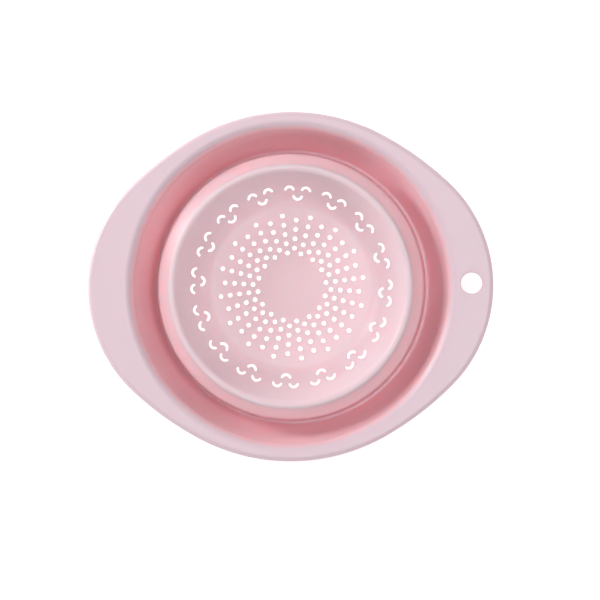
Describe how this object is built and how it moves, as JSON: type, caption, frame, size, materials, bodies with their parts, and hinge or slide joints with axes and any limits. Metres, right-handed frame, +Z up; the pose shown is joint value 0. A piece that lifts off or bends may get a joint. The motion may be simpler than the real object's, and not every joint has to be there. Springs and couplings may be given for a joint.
{
  "type": "collapsible colander",
  "caption": "Folding kitchen colander: an oval handled rim, a soft wall that folds flat, and a round perforated basket on a low foot.",
  "frame": {"origin": "on the ground under the centre of the basket, with the colander folded flat", "axes": "+X along the rim's length towards the handle with the hanging hole, +Y across the rim, +Z up out of the basket"},
  "size_m": [0.27, 0.2328, 0.042],
  "materials": {
    "rim_plastic": "satin",
    "basket_plastic": "satin",
    "soft_wall": "matte"
  },
  "bodies": {
    "strainer": {"strainer_basket": "basket_plastic", "lip_bead": "soft_wall"},
    "fold": {"fold_band": "soft_wall"},
    "rim": {"carrying_rim": "rim_plastic", "hanging_wall": "soft_wall"}
  },
  "joints": [
    {"name": "rim_slide", "type": "slide", "parent": "strainer", "child": "rim", "axis": [0, 0, 1], "range_m": [0, 0.062]},
    {"name": "fold_slide", "type": "slide", "parent": "strainer", "child": "fold", "axis": [0, 0, 1], "range_m": [0, 0.031]}
  ],
  "couplings": [
    {"joint": "fold_slide", "follows": "rim_slide", "ratio": 0.5}
  ]
}
